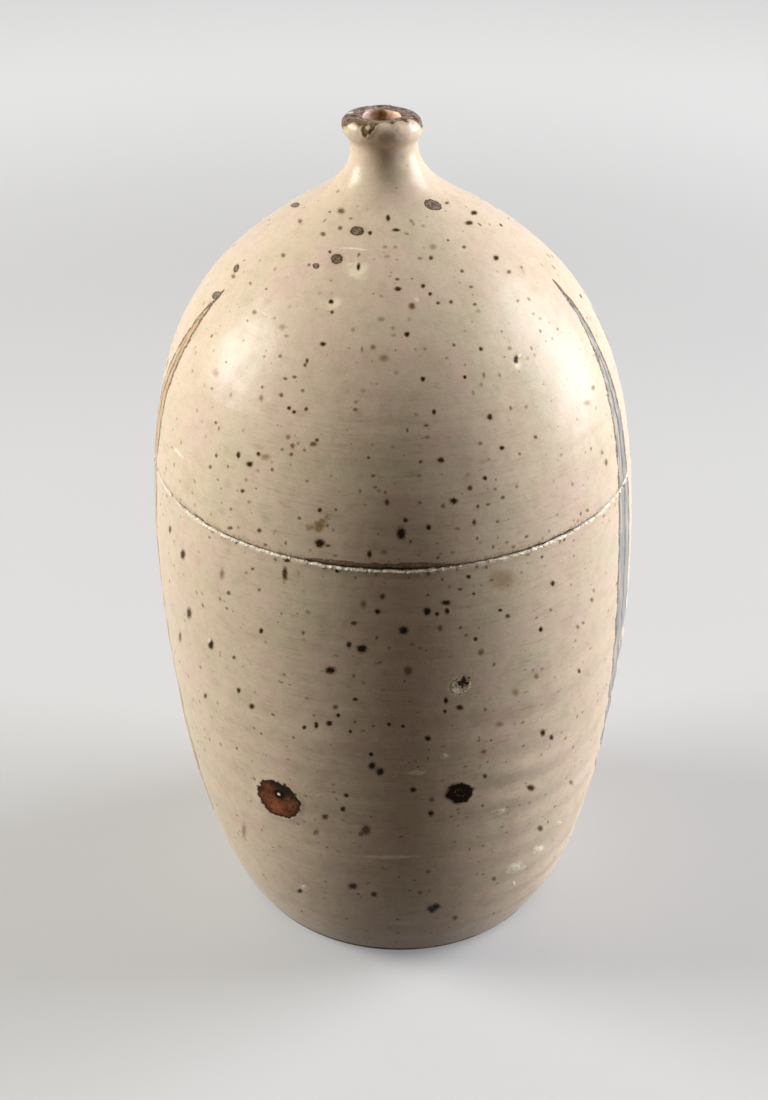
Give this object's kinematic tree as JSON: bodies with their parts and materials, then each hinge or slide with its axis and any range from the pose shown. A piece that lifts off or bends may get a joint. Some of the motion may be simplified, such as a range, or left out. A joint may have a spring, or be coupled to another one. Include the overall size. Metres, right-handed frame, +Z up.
{
  "type": "lidded bud vase",
  "caption": "Egg-shaped glazed stoneware vase whose domed upper part, with a narrow open neck for a stem, lifts off a stepped rim.",
  "frame": {"origin": "on the table, under the middle of the belly", "axes": "+Z up along the pot, -Y towards the side with the fewest brush marks, +X to its right; the pot leans a little to -X"},
  "size_m": [0.1141, 0.114, 0.2038],
  "materials": {
    "jar_glaze": "satin speckled glaze",
    "lid_glaze": "satin speckled glaze"
  },
  "bodies": {
    "jar": {"jar_body": "jar_glaze"},
    "lid": {"lid_with_neck": "lid_glaze"}
  },
  "joints": [
    {"name": "lid_lift", "type": "slide", "parent": "jar", "child": "lid", "axis": [0, 0, 1], "range_m": [0, 0.06]}
  ]
}
